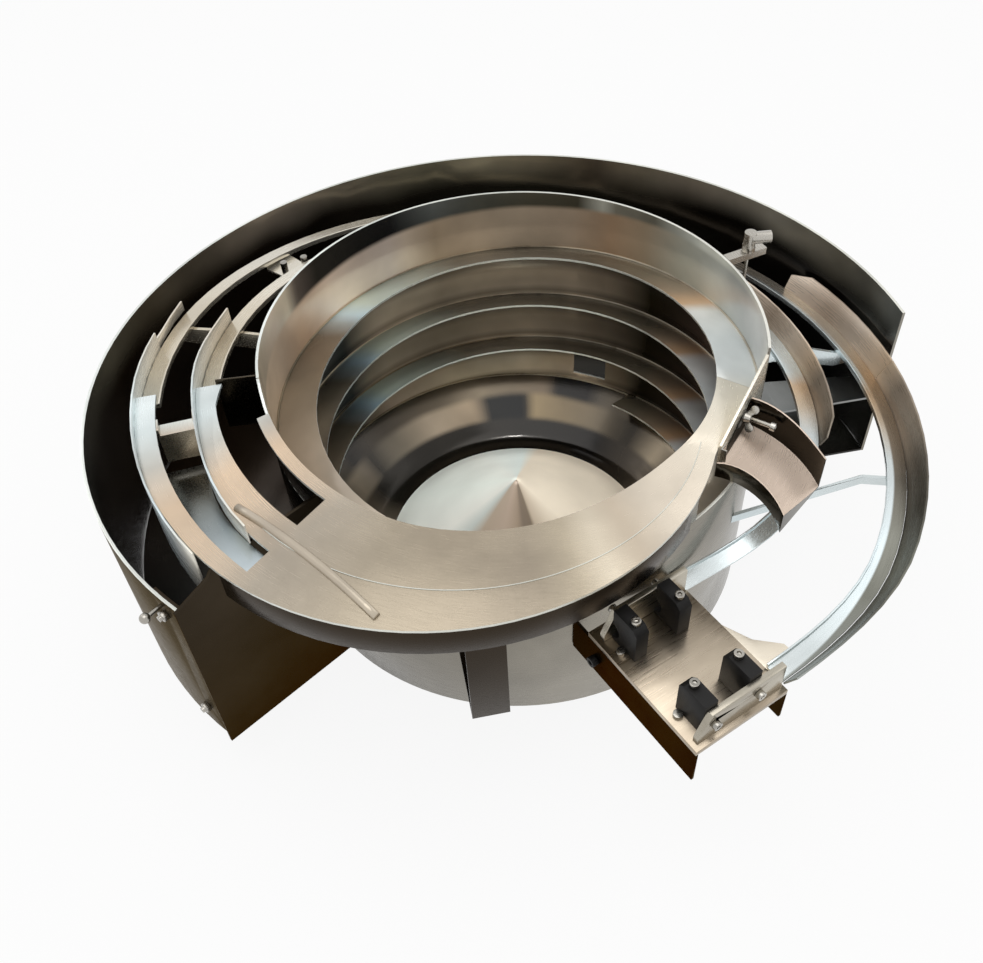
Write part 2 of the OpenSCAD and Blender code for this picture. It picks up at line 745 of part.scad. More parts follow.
// Plan line of the pan, a wide arc that tightens at the front left, drawn in by inset
function pan_line(inset) = let (
        r1 = pan_r - inset, r2 = r1 - pan_tighter,
        wide = arc_points(pan_c1, r1, turn_on(pan_c1, r1, pan_end_s), pan_turn, 56),
        tight = arc_points(pan_c2, r2, pan_turn, turn_on(pan_c2, r2, end_plate_s), 26)
    ) concat(wide, [for (i = [1:len(tight) - 1]) tight[i]]);

module pan_wall() {
    corner = 22;
    color("#3a3632") difference() {
        translate([0, 0, pan_bottom]) linear_extrude(pan_h)
            polygon(concat(pan_line(0), turned_back(pan_line(sheet_t))));
        end_plate_bores();
        around(pan_end_s) translate([pan_r - 60, -corner, pan_top - corner]) difference() {
            translate([0, -eps, 0]) cube([90, corner + 2 * eps, corner + eps]);
            translate([-eps, corner, 0]) rotate([0, 90, 0])
                cylinder(h = 90 + 2 * eps, r = corner, $fn = 64);
        }
    }
}

module pan_floor() {
    color("#4a4540") difference() {
        translate([0, 0, pan_bottom]) linear_extrude(sheet_t)
            polygon(concat(pan_line(sheet_t + seat), [[0, 0]]));
        translate([0, 0, pan_bottom - eps])
            cylinder(h = sheet_t + 2 * eps, r = wall_out_r + seat, $fn = 180);
    }
}

// Upright plate that closes the pan at the front left, with a flange inside the pan wall
module pan_end_plate() {
    out_r = pan_r - 26;
    under = lip_z - 26 - sheet_t - 8;
    low = pan_bottom - end_plate_below;
    flange_r = pan_r - pan_tighter - sheet_t - seat;
    color("#4a4540") difference() {
        union() {
            radial_plate(end_plate_s, sheet_t, [
                [wall_out_r + seat, low], [out_r, low], [out_r, pan_top],
                [outer_out_r, under - 8], [outer_out_r - 6, under], [wall_out_r + seat, under]
            ], seat + sheet_t / 2);
            translate([0, 0, pan_bottom + sheet_t + seat])
                linear_extrude(pan_h - sheet_t - 2 * seat) intersection() {
                    translate(pan_c2) difference() {
                        circle(r = flange_r, $fn = 180);
                        circle(r = flange_r - sheet_t, $fn = 180);
                    }
                    polygon([
                        [0, 0],
                        for (s = [end_plate_s - 0.3, end_plate_s + 5])
                            [-2 * pan_r * sin(s), -2 * pan_r * cos(s)]
                    ]);
                }
        }
        end_plate_bores();
    }
}

// Shelf and drop plate that close the pan at its right end
module end_shelf() {
    width = 62;
    z = lip_z - shelf_drop;
    in_r = wall_out_r + seat;
    out_r = pan_r - sheet_t - 12;
    color("#8f9296") around(pan_end_s) {
        translate([0, 0, z]) linear_extrude(sheet_t)
            polygon([[in_r, 2], [out_r, 2], [out_r, 40], [in_r, width]]);
        translate([in_r, width - 18, pan_bottom + sheet_t + seat])
            cube([out_r - in_r - 26, sheet_t, z - pan_bottom - sheet_t - seat + eps]);
    }
}

// Points outwards through the pan wall at the flange of the end plate, from the outer face
end_bolt_s = end_plate_s + 3;
end_bolt_heights = [pan_top - 22, pan_bottom + 34];
module on_end_flange(z) {
    arc_r = pan_r - pan_tighter;
    translate(pan_c2) rotate([0, 0, turn_on(pan_c2, arc_r, end_bolt_s)])
        translate([arc_r, 0, z]) rotate([0, 90, 0]) children();
}
module end_plate_bores() for (z = end_bolt_heights)
    on_end_flange(z) translate([0, 0, -20]) cylinder(h = 40, r = 3 + seat, $fn = 32);
module end_plate_screws() {
    color("silver") for (z = end_bolt_heights) on_end_flange(z) {
        translate([0, 0, seat]) cylinder(h = 5, r = 5.5, $fn = 6);
        translate([0, 0, -2 * sheet_t - 2]) cylinder(h = 2 * sheet_t + 3, r = 3, $fn = 32);
        translate([0, 0, 4]) cylinder(h = 4, r = 3, $fn = 32);
    }
}

module end_plate_knob() {
    color("silver") on_end_flange(pan_top - 9) translate([0, 0, seat]) {
        cylinder(h = 16, r = 2, $fn = 32);
        translate([0, 0, 18]) sphere(r = 5, $fn = 32);
    }
}

// ---------------------------------------------------------------- discharge plate

tool_u0 = -8;
tool_u1 = tool_u0 + tool_l;
tool_v0 = wall_out_r + 5;
// Stands a piece on the discharge plate: x outwards from the bowl axis, y with the travel
module on_tool() around(tool_s) mirror([0, 1, 0]) translate([0, 0, tool_z]) children();

module tool_plate() {
    color("wheat") on_tool() translate([tool_v0, tool_u0, -tool_t])
        cube([tool_edge - tool_v0, tool_l, tool_t]);
}
module tool_side(u, from, h) {
    on_tool() translate([from, u, -tool_t - seat - h]) cube([tool_edge - from, sheet_t, h]);
}
module tool_side_left() color("#4a4540") {
    from = sqrt(pow(wall_out_r + seat, 2) - pow(tool_u1 - sheet_t, 2));
    tool_side(tool_u1 - sheet_t, from, tool_side_h);
}
module tool_side_right() color("silver") {
    tool_side(tool_u0, wall_out_r + 2 * seat, tool_side_h - 6);
}

// Flat gusset beside the plate, under the end of the outer lane
module tool_gusset() {
    color("cornsilk") on_tool() translate([0, 0, -tool_t]) linear_extrude(sheet_t) polygon([
        [near_rail - 78, tool_u0 - seat], [near_rail - 47, tool_u0 - 13],
        [near_rail - 27, tool_u0 - 33], [near_rail - 6, tool_u0 - 34], [near_rail - 1, tool_u0 - seat]
    ]);
}

// Guide rail with a bevelled lead-out end
module guide_rail(v) {
    bevel = 12;
    on_tool() translate([v, -4, seat]) rotate([90, 0, 90]) linear_extrude(rail_t) polygon([
        [0, 0], [rail_l + bevel, 0], [rail_l + bevel, 8], [rail_l, rail_h], [0, rail_h]
    ]);
}
block_places = [26, 75];
near_screw_z = 21;
far_screw_z = 28;
module near_guide_rail() color("silver") difference() {
    guide_rail(near_rail);
    rail_bores(near_rail, near_screw_z);
}
module far_guide_rail() color("silver") difference() {
    guide_rail(far_rail);
    rail_bores(far_rail, far_screw_z);
}
module rail_bores(v, z) on_tool() for (u = block_places)
    translate([v - eps, u, z]) rotate([0, 90, 0])
        cylinder(h = rail_t + 2 * eps, r = screw_r + seat, $fn = 32);

// Clamp block: screwed down to the plate, with the rail held against one end
module clamp_block(u, v, screw_v) {
    chamfer = 6;
    on_tool() difference() {
        translate([v, u + block_w / 2, seat]) rotate([90, 0, 0]) linear_extrude(block_w)
            polygon(screw_v < v + block_d / 2
                ? [[0, 0], [block_d, 0], [block_d, block_h], [chamfer, block_h],
                   [0, block_h - chamfer]]
                : [[0, 0], [block_d, 0], [block_d, block_h - chamfer],
                   [block_d - chamfer, block_h], [0, block_h]]);
        translate([screw_v, u, -eps]) cylinder(h = block_h + 4, r = screw_r + seat, $fn = 32);
    }
}
near_block_v = near_rail - seat - block_d;
far_block_v = far_rail + rail_t + seat;
near_screw_v = near_block_v + 10;
far_screw_v = far_block_v + block_d - 10;
module near_clamp_blocks() color("#1c1b1a") for (u = block_places) difference() {
    clamp_block(u, near_block_v, near_screw_v);
    on_tool() translate([near_rail - 16, u, near_screw_z]) rotate([0, 90, 0])
        cylinder(h = 20, r = screw_r + seat, $fn = 32);
}
module far_clamp_blocks() color("#1c1b1a") for (u = block_places) difference() {
    clamp_block(u, far_block_v, far_screw_v);
    on_tool() translate([far_block_v, u - block_w, 13]) rotate([-90, 0, 0])
        cylinder(h = 2 * block_w, r = relief_r, $fn = 48);
    on_tool() translate([far_block_v - eps, u, far_screw_z]) rotate([0, 90, 0])
        cylinder(h = 16, r = screw_r + seat, $fn = 32);
}
module clamp_screws() {
    color("silver") on_tool() for (u = block_places, v = [near_screw_v, far_screw_v])
        translate([v, u, block_h + 2 * seat]) cap_screw(screw_r, block_h - 1);
}
module base_screws() {
    color("silver") on_tool() for (v = [near_screw_v - 2, far_screw_v - 4])
        translate([v, 86.5, seat]) {
            cylinder(h = 2 * screw_r, r = 1.75 * screw_r, $fn = 32);
        }
}
module rail_screws() {
    color("silver") on_tool() {
        for (u = block_places) {
            translate([near_rail + rail_t + seat, u, near_screw_z]) rotate([0, 90, 0])
                cap_screw(screw_r, 18);
            translate([far_rail - seat, u, far_screw_z]) rotate([0, -90, 0])
                cap_screw(screw_r, rail_t + 10);
        }
    }
}
module side_plate_screw() {
    color("#1c1b1a") on_tool() translate([tool_v0 + 12, tool_u1 + seat, -tool_t - 24])
        rotate([-90, 0, 0]) cap_screw(3, 0);
}
module guard_screws() {
    color("silver") {
        guard_screw(inner_edge_r(262), 262, inner_z(262));
        guard_screw(outer_edge_r(252), 252, outer_z(252));
        guard_screw(outer_edge_r(284), 284, outer_z(284));
        guard_screw(outer_edge_r(292), 292, outer_z(292));
    }
}
module guard_screw(r, s, z) {
    lean = atan2(guard_lean, guard_h);
    around(s) translate([r + seat, 0, z]) rotate([0, lean, 0])
        translate([lane_t + 0.4, 0, guard_h * 0.62]) rotate([0, 90, 0]) cap_screw(2, 0);
}

// ---------------------------------------------------------------- air jet

air_top = lip_z;
bar_h = 8;
bar_w = 11;
module air_bar() {
    color("silver") around(air_s) difference() {
        translate([wall_out_r + seat, -bar_w / 2, air_top - bar_h]) cube([air_bar_l, bar_w, bar_h]);
        translate([wall_out_r + 28, 0, air_top - bar_h - eps])
            cylinder(h = bar_h + 2 * eps, r = 3 + seat, $fn = 32);
    }
}

// Push-in elbow screwed through the bar, with its mouth to the side
module air_elbow() {
    mouth_z = air_top + 15;
    mouth_l = 22;
    color("silver") around(air_s) translate([wall_out_r + 28, 0, 0]) difference() {
        union() {
            translate([0, 0, air_top + seat]) cylinder(h = 6, r = elbow_r + 1, $fn = 6);
            translate([0, 0, air_top + seat]) cylinder(h = 22, r = elbow_r, $fn = 48);
            translate([0, 0, air_top - bar_h]) cylinder(h = bar_h + 2, r = 3, $fn = 32);
            translate([0, 0, mouth_z]) rotate([0, 90, -20]) cylinder(h = mouth_l, r = elbow_r, $fn = 48);
        }
        translate([0, 0, mouth_z]) rotate([0, 90, -20]) translate([0, 0, mouth_l - 14])
            cylinder(h = 14 + eps, r = hose_r, $fn = 32);
    }
}

// Thin pipe from under the bar that blows on the inner lane
module air_pipe() {
    r = 2;
    drop = 50;
    color("silver") around(air_s) translate([wall_out_r + 28, 0, air_top - bar_h - seat]) {
        translate([0, 0, -drop]) cylinder(h = drop, r = r, $fn = 32);
        translate([0, 0, -drop]) sphere(r = r, $fn = 32);
        translate([0, 0, -drop]) rotate([0, 90, 0]) cylinder(h = 12, r = r, $fn = 32);
    }
}

clamping_ring();
bowl_floor();
bowl_wall();
wall_riser();
spiral_track();
front_deck();
deck_skirt();
slot_baffle();
slot_ramp();
deflector_strip();
deck_bracket();
dump_gate();
gate_clip();
gate_screw();
wing_nut();
dump_chute();
inner_lane();
outer_lane();
inner_front_guard();
outer_front_guard();
outer_side_guard();
inner_rear_guard();
outer_fan_guard();
outer_right_guard();
lane_bridge();
rear_bracket();
rear_bracket_pins();
lane_ties();
lane_strut();
pan_wall();
pan_floor();
pan_end_plate();
end_shelf();
end_plate_screws();
end_plate_knob();
tool_plate();
tool_side_left();
tool_side_right();
tool_gusset();
near_guide_rail();
far_guide_rail();
near_clamp_blocks();
far_clamp_blocks();
clamp_screws();
base_screws();
rail_screws();
side_plate_screw();
guard_screws();
air_bar();
air_elbow();
air_pipe();
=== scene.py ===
import math

import bmesh
import bpy
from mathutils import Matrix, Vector


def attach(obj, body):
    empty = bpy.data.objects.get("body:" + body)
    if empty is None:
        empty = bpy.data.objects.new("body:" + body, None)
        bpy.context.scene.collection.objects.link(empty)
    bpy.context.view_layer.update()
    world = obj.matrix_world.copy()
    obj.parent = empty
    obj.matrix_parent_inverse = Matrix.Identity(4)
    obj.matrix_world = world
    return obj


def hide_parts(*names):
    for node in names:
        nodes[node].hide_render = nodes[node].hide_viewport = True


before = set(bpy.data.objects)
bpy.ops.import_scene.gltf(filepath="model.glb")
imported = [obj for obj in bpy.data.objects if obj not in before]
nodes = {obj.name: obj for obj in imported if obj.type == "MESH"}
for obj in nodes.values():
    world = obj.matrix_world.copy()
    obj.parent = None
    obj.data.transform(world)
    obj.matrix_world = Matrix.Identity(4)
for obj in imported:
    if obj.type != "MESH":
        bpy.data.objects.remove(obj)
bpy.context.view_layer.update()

bpy.ops.object.select_all(action="DESELECT")

# Camera: hand-held over the front edge, looking down into the bowl.
bpy.ops.object.camera_add(location=(0.0, -0.8129, 0.9983), rotation=(0.74756, 0.04411, -0.01218))
camera = bpy.context.object
camera.data.sensor_width = 36.0
camera.data.lens = 38.09
bpy.context.scene.camera = camera
bpy.context.scene.view_settings.view_transform = "Standard"


# Setting: a white surround and a white floor that keeps the shadow of the feeder, one broad
# lamp overhead and two soft ones at the sides.
def put(tree, kind, sockets=(), **settings):
    """Adds a shader node; each socket gets a link or a constant."""
    made = tree.nodes.new("ShaderNode" + kind)
    for name, value in settings.items():
        setattr(made, name, value)
    for name, value in dict(sockets).items():
        if isinstance(value, bpy.types.NodeSocket):
            tree.links.new(value, made.inputs[name])
        else:
            made.inputs[name].default_value = value
    return made


def seen_directly(tree):
    """1 where the camera, a mirror or glass sees the surface, 0 where it only lights others."""
    path = put(tree, "LightPath")
    either = put(tree, "Math", {0: path.outputs["Is Camera Ray"], 1: path.outputs["Is Glossy Ray"]},
                 operation="MAXIMUM")
    return put(tree, "Math", {0: either.outputs[0], 1: path.outputs["Is Transmission Ray"]},
               operation="MAXIMUM").outputs[0]


world = bpy.data.worlds.new("surround")
bpy.context.scene.world = world
world.use_nodes = True
sky = world.node_tree
sky.nodes.clear()
level = put(sky, "MapRange", {"Value": seen_directly(sky), "To Min": 0.7, "To Max": 1.0})
light = put(sky, "Background", {"Color": (1, 1, 1, 1), "Strength": level.outputs[0]})
put(sky, "OutputWorld", {"Surface": light.outputs[0]})

bpy.ops.mesh.primitive_circle_add(vertices=96, radius=6.0, fill_type="NGON", location=(0, 0, -0.0005))
floor = bpy.context.object
floor.name = "studio_floor"
paint = bpy.data.materials.new("studio_floor")
paint.use_nodes = True
tree = paint.node_tree
tree.nodes.clear()
matt = put(tree, "BsdfDiffuse", {"Color": (0.85, 0.85, 0.85, 1)})
glow = put(tree, "Emission", {"Color": (1, 1, 1, 1), "Strength": 1.0})
share = put(tree, "MapRange", {"Value": seen_directly(tree), "To Min": 0.0, "To Max": 0.9})
mixed = put(tree, "MixShader", {"Fac": share.outputs[0], 1: matt.outputs[0], 2: glow.outputs[0]})
put(tree, "OutputMaterial", {"Surface": mixed.outputs[0]})
floor.data.materials.append(paint)

for place, size, power in (
    ((-0.2, -0.3, 2.2), 1.6, 14.0),
    ((1.8, 0.4, 1.5), 1.2, 3.0),
    ((-1.8, 0.8, 1.5), 1.2, 3.0),
):
    bpy.ops.object.light_add(type="AREA", location=place)
    lamp = bpy.context.object
    lamp.data.size = size
    lamp.data.energy = power
    lamp.rotation_euler = (Vector((0, 0, 0.2)) - Vector(place)).to_track_quat("-Z", "Y").to_euler()

# A narrow lamp straight above reaches the cone at the bottom of the bowl
bpy.ops.object.light_add(type="SPOT", location=(0, 0, 2.4))
lamp = bpy.context.object
lamp.data.energy = 150.0
lamp.data.shadow_soft_size = 0.05
lamp.data.spot_size = math.radians(8.2)
lamp.data.spot_blend = 0.25


# Bowl: a rolled stainless wall, a spun floor with a cone, and the helical ledge welded inside.
# The sheet is polished to a soft mirror, and the smears of the polishing run round the bowl. Its
# tones, which change round the bowl, are painted reflections of the room and painted shade.
def linear(code):
    """Linear colour of a six-digit sRGB code."""
    shares = [int(code[i:i + 2], 16) / 255 for i in (0, 2, 4)]
    return (*[((c + 0.055) / 1.055) ** 2.4 if c > 0.04045 else c / 12.92 for c in shares], 1)


def travel_turn(tree, place, wobble):
    """Share of a turn round the bowl axis, 0 at the front and rising clockwise from above."""
    split = put(tree, "SeparateXYZ", {0: place})
    theta = put(tree, "Math", {0: split.outputs["Y"], 1: split.outputs["X"]}, operation="ARCTAN2")
    turn = put(tree, "Math", {0: theta.outputs[0], 1: -0.5 / math.pi, 2: 0.75},
               operation="MULTIPLY_ADD")
    waves = put(tree, "TexNoise", {"Vector": place, "Scale": 5.0, "Detail": 2.0})
    moved = put(tree, "Math", {0: waves.outputs["Fac"], 1: wobble, 2: turn.outputs[0]},
                operation="MULTIPLY_ADD")
    centred = put(tree, "Math", {0: moved.outputs[0], 1: wobble / 2}, operation="SUBTRACT")
    return put(tree, "Math", {0: centred.outputs[0]}, operation="FRACT").outputs[0]


def tones_round(tree, turn, tones):
    """Colour that runs through the tones, each a travel angle and an sRGB code."""
    ramp = put(tree, "ValToRGB", {"Fac": turn})
    stops = ramp.color_ramp.elements
    stops[0].position = tones[0][0] / 360
    stops[0].color = linear(tones[0][1])
    stops[1].position = tones[-1][0] / 360
    stops[1].color = linear(tones[-1][1])
    for angle, code in tones[1:-1]:
        stops.new(angle / 360).color = linear(code)
    return ramp.outputs["Color"]


def steel(name, tones, rough, zones=(), along="Z", climb=0.0, shaded=None, wobble=0.02,
          smear=0.25, grain=0.12, scratch=800.0, metal=1.0):
    """Polished sheet whose tone changes round the bowl; on the bowl, the deck, the lanes and the pan
    these tones are painted reflections of the room and painted shade. Each zone brings in further
    tones between two heights, which may climb with the travel, or two radii. `shaded` is the height
    of a ledge: painted shade deepens towards the ledge above, after painted highlights just over the
    ledge, once in every `climb`. Smears, fine rolling grain and a slightly uneven polish cover it."""
    made = bpy.data.materials.new(name)
    made.use_nodes = True
    tree = made.node_tree
    shade = tree.nodes["Principled BSDF"]
    shade.inputs["Metallic"].default_value = metal
    place = put(tree, "TexCoord").outputs["Object"]
    split = put(tree, "SeparateXYZ", {0: place})
    turn = travel_turn(tree, place, wobble)
    colour = tones_round(tree, turn, tones)
    flat = put(tree, "CombineXYZ", {"X": split.outputs["X"], "Y": split.outputs["Y"]})
    reach = put(tree, "VectorMath", {0: flat.outputs[0]}, operation="LENGTH").outputs["Value"]
    where = reach if along == "R" else put(tree, "Math", {
        0: turn, 1: -climb, 2: put(tree, "Math", {0: split.outputs["Z"], 1: climb / 2}).outputs[0]},
        operation="MULTIPLY_ADD").outputs[0]
    # Painted shade deepening under the ledge above, with painted highlights just over each ledge
    if shaded is not None:
        above = put(tree, "Math", {0: where, 1: shaded}, operation="SUBTRACT")
        turns = put(tree, "Math", {0: above.outputs[0], 1: climb}, operation="DIVIDE")
        below = put(tree, "Math", {0: turns.outputs[0]}, operation="FRACT")
        ledge_shade_and_highlight = put(tree, "ValToRGB", {"Fac": below.outputs[0]})
        ledge_shade_and_highlight.color_ramp.elements[0].color = (1.3, 1.3, 1.3, 1)
        ledge_shade_and_highlight.color_ramp.elements[1].color = (0.25, 0.25, 0.25, 1)
        for position, tone in ((0.08, 0.7), (0.2, 1.25), (0.5, 1.0), (0.66, 0.4)):
            ledge_shade_and_highlight.color_ramp.elements.new(position).color = (tone, tone, tone, 1)
        colour = put(tree, "VectorMath", {0: colour, 1: ledge_shade_and_highlight.outputs["Color"]},
                     operation="MULTIPLY").outputs[0]
    for further, start, end in zones:
        ripple = put(tree, "TexNoise", {"Vector": place, "Scale": 9.0, "Detail": 1.0})
        drift = put(tree, "Math", {0: ripple.outputs["Fac"], 1: (end - start) * 0.8, 2: where},
                    operation="MULTIPLY_ADD")
        level = put(tree, "Math", {0: drift.outputs[0], 1: (end - start) * 0.4},
                    operation="SUBTRACT")
        share = put(tree, "MapRange", {"Value": level.outputs[0], "From Min": start,
                                       "From Max": end}, interpolation_type="SMOOTHSTEP")
        both = put(tree, "MixRGB", {"Fac": share.outputs[0], "Color1": colour,
                                    "Color2": tones_round(tree, turn, further)})
        colour = both.outputs["Color"]
    stretched = put(tree, "CombineXYZ", {
        "X": put(tree, "Math", {0: turn, 1: 0.1}, operation="MULTIPLY").outputs[0],
        "Y": reach, "Z": split.outputs["Z"]})
    cloud = put(tree, "TexNoise", {"Vector": place, "Scale": 11.0, "Detail": 3.0, "Roughness": 0.5})
    patch = put(tree, "MapRange", {"Value": cloud.outputs["Fac"], "From Min": 0.3, "From Max": 0.7,
                                   "To Min": 1.0 - smear, "To Max": 1.0 + smear * 0.5})
    tint = put(tree, "VectorMath", {0: colour, "Scale": patch.outputs[0]}, operation="SCALE")
    tree.links.new(tint.outputs["Vector"], shade.inputs["Base Color"])
    lines = put(tree, "TexNoise", {"Vector": stretched.outputs[0], "Scale": scratch, "Detail": 4.0})
    polish = put(tree, "Math", {0: lines.outputs["Fac"], 1: cloud.outputs["Fac"]}, operation="ADD")
    dull = put(tree, "MapRange", {"Value": polish.outputs[0], "From Min": 0.7, "From Max": 1.3,
                                  "To Min": rough * 0.7, "To Max": rough * 1.3})
    tree.links.new(dull.outputs[0], shade.inputs["Roughness"])
    relief = put(tree, "Bump", {"Strength": grain, "Distance": 0.0003,
                                "Height": lines.outputs["Fac"]})
    tree.links.new(relief.outputs["Normal"], shade.inputs["Normal"])
    return made


def dress(node, finish, edge=0.0005, sharp=28.0, pick=None):
    """A smooth-shaded copy of a sheet, with its cut edges broken, that stands for the node.
    With pick, a list of further finishes, pick[i + 1] covers the faces that pick[0] numbers so."""
    piece = nodes[node].copy()
    piece.data = nodes[node].data.copy()
    piece.name = node + "_sheet"
    piece.parent = None
    bpy.context.collection.objects.link(piece)
    shape = bmesh.new()
    shape.from_mesh(piece.data)
    bmesh.ops.remove_doubles(shape, verts=shape.verts, dist=0.00002)
    bmesh.ops.dissolve_degenerate(shape, dist=0.00002, edges=shape.edges)
    shape.to_mesh(piece.data)
    shape.free()
    piece.data.materials.clear()
    piece.data.materials.append(finish)
    bpy.ops.object.select_all(action="DESELECT")
    bpy.context.view_layer.objects.active = piece
    piece.select_set(True)
    if edge:
        broken = piece.modifiers.new("edge", "BEVEL")
        broken.width = edge
        broken.segments = 2
        broken.limit_method = "ANGLE"
        broken.angle_limit = math.radians(50)
        bpy.ops.object.modifier_apply(modifier="edge")
    bpy.ops.object.shade_smooth_by_angle(angle=math.radians(sharp))
    if pick:
        for other in pick[1:]:
            piece.data.materials.append(other)
        for face in piece.data.polygons:
            face.material_index = pick[0](face)
    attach(piece, "root")
    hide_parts(node)
    return piece


# Wall tones round the bowl, high, low and deep: painted reflections of the room and painted shade
wall_high = [
    (0, "eddec6"), (60, "ccc0ab"), (88, "c9bda8"), (100, "deccb7"), (108, "eddec3"),
    (113, "6f635a"), (122, "302d27"), (148, "1e1e1e"), (160, "5d605d"), (172, "5d5d54"),
    (185, "4b483c"), (200, "3c392d"), (207, "b4b4a8"), (211, "7b786c"), (222, "6c695d"),
    (238, "eaede1"), (252, "d5d8cc"), (268, "d8dbd5"), (285, "a29f96"), (360, "eddec6"),
]
wall_low = [
    (0, "eddec6"), (88, "edd8bd"), (100, "dec9b1"), (112, "edccab"), (130, "edd5c0"),
    (146, "eddbcc"), (152, "edd8c0"), (160, "bda88d"), (180, "c3b199"), (198, "a89681"),
    (210, "a2876c"), (220, "a29078"), (232, "bdbdae"), (242, "c0c3ba"), (255, "b4b7b4"),
    (270, "cfcfcc"), (300, "ede4cc"), (360, "eddec6"),
]
wall_deep = [
    (0, "6f6357"), (88, "c2bdb1"), (104, "e3d7c3"), (113, "6f6f69"), (126, "3c3c36"), (140, "ccb7a2"),
    (165, "c6b79f"), (185, "e7d5ba"), (200, "cfbda5"), (222, "2a2415"), (245, "51453f"),
    (275, "393330"), (300, "5a5145"), (360, "6f6357"),
]
wall_steel = steel("wall_steel", wall_deep, 0.2, climb=0.069, shaded=0.268, metal=0.35, zones=[
    (wall_low, 0.262, 0.267), (wall_high, 0.319, 0.327)])
# Outside of the wall: darker towards the back, painted reflection and painted shade
shell_steel = steel("shell_steel", [
    (0, "8a857b"), (60, "5f5b54"), (90, "57534c"), (200, "5f5a52"), (260, "77736b"), (300, "8a867d"),
    (330, "989389"), (360, "8a857b"),
], 0.26, wobble=0.05)


# Painted highlight on the lip and the cut edges, where they catch the light
painted_edge_highlight = steel("painted_edge_highlight", [(0, "dcdcd2"), (90, "e6eae6"), (180, "d6d8d0"), (270, "ecebe2"),
                                  (360, "dcdcd2")], 0.3, smear=0.2, metal=0.5)


def wall_side(face):
    """0 on the inner face of the wall, 1 outside, 2 on the lip, which takes the painted edge
    highlight.
    """
    if face.normal.z > 0.7:
        return 2
    return int(face.normal.x * face.center.x + face.normal.y * face.center.y > 0)


def bead(name, path, radius, finish, caps=True):
    """A run of weld, or a crease line: a round section drawn along a path."""
    run = bpy.data.curves.new(name, "CURVE")
    run.dimensions = "3D"
    run.bevel_depth = radius
    run.bevel_resolution = 1
    run.use_fill_caps = caps
    line = run.splines.new("POLY")
    line.points.add(len(path) - 1)
    for point, place in zip(line.points, path):
        point.co = (*place, 1)
    piece = bpy.data.objects.new(name, run)
    bpy.context.collection.objects.link(piece)
    bpy.ops.object.select_all(action="DESELECT")
    bpy.context.view_layer.objects.active = piece
    piece.select_set(True)
    bpy.ops.object.convert(target="MESH")
    bpy.ops.object.shade_smooth_by_angle(angle=math.radians(60))
    piece.data.materials.append(finish)
    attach(piece, "root")
    return piece


def round_bowl(angle, radius, height):
    """Point at a travel angle in degrees, a radius and a height."""
    turn = math.radians(angle)
    return (-radius * math.sin(turn), -radius * math.cos(turn), height)


dress("bowl_wall", wall_steel, pick=(wall_side, shell_steel, painted_edge_highlight))
dress("wall_riser", wall_steel, pick=(wall_side, shell_steel, painted_edge_highlight))
# Ledge tones round the bowl: painted reflections, with painted highlights near 125° and 250° on every
# turn
track_steel = steel("track_steel", [
    (0, "c9bda8"), (60, "b4a899"), (95, "8d816f"), (116, "696051"), (122, "96a2a5"),
    (127, "c0deed"), (133, "ccded5"), (165, "7b7569"), (200, "544e42"), (225, "7e7563"),
    (236, "a8937b"), (243, "d8b18a"), (247, "ededea"), (262, "e7eded"), (275, "e4eaea"),
    (300, "ded2bd"), (360, "c9bda8"),
], 0.2, wobble=0.012, metal=0.4)
LEDGE_TOP, LEDGE_RISE = 0.268, 0.069


def ledge_edge(face):
    """1 on the cut edge of the ledge that looks at the bowl axis, which takes the painted edge
    highlight.
    """
    near_axis = math.hypot(face.center.x, face.center.y) < 0.2075
    return int(near_axis and abs(face.normal.z) < 0.8)


dress("spiral_track", track_steel, edge=0.0004, pick=(ledge_edge, painted_edge_highlight))
weld_steel = steel("weld_steel", [(0, "b9a78f"), (90, "a3977f"), (180, "8f8069"), (270, "c9c2b2"),
                                  (360, "b9a78f")], 0.34, wobble=0.3, smear=0.6, metal=0.6)
bead("ledge_weld", [round_bowl(s, 0.2492, LEDGE_TOP + LEDGE_RISE * (s - 180) / 360 + 0.0004)
                    for s in range(-860, 280, 4)], 0.0011, weld_steel)
bead("floor_weld", [round_bowl(s, 0.2492, 0.0658) for s in range(0, 361, 4)], 0.0012, weld_steel,
     caps=False)
# Cone tones: painted reflection, bluish white on the left, cream on the right and dark at the front
cone_steel = steel("cone_steel", [
    (0, "84725d"), (20, "9c8a78"), (45, "a29381"), (58, "bac0ba"), (75, "deded5"), (120, "e7ede4"),
    (160, "eaede4"), (185, "e4ede7"), (192, "ede1cc"), (230, "ede1cc"), (300, "ede1cc"),
    (335, "b4a590"), (340, "6f604e"), (352, "695a48"), (360, "84725d"),
], 0.45, wobble=0.015, smear=0.12, grain=0.04, metal=0.15)
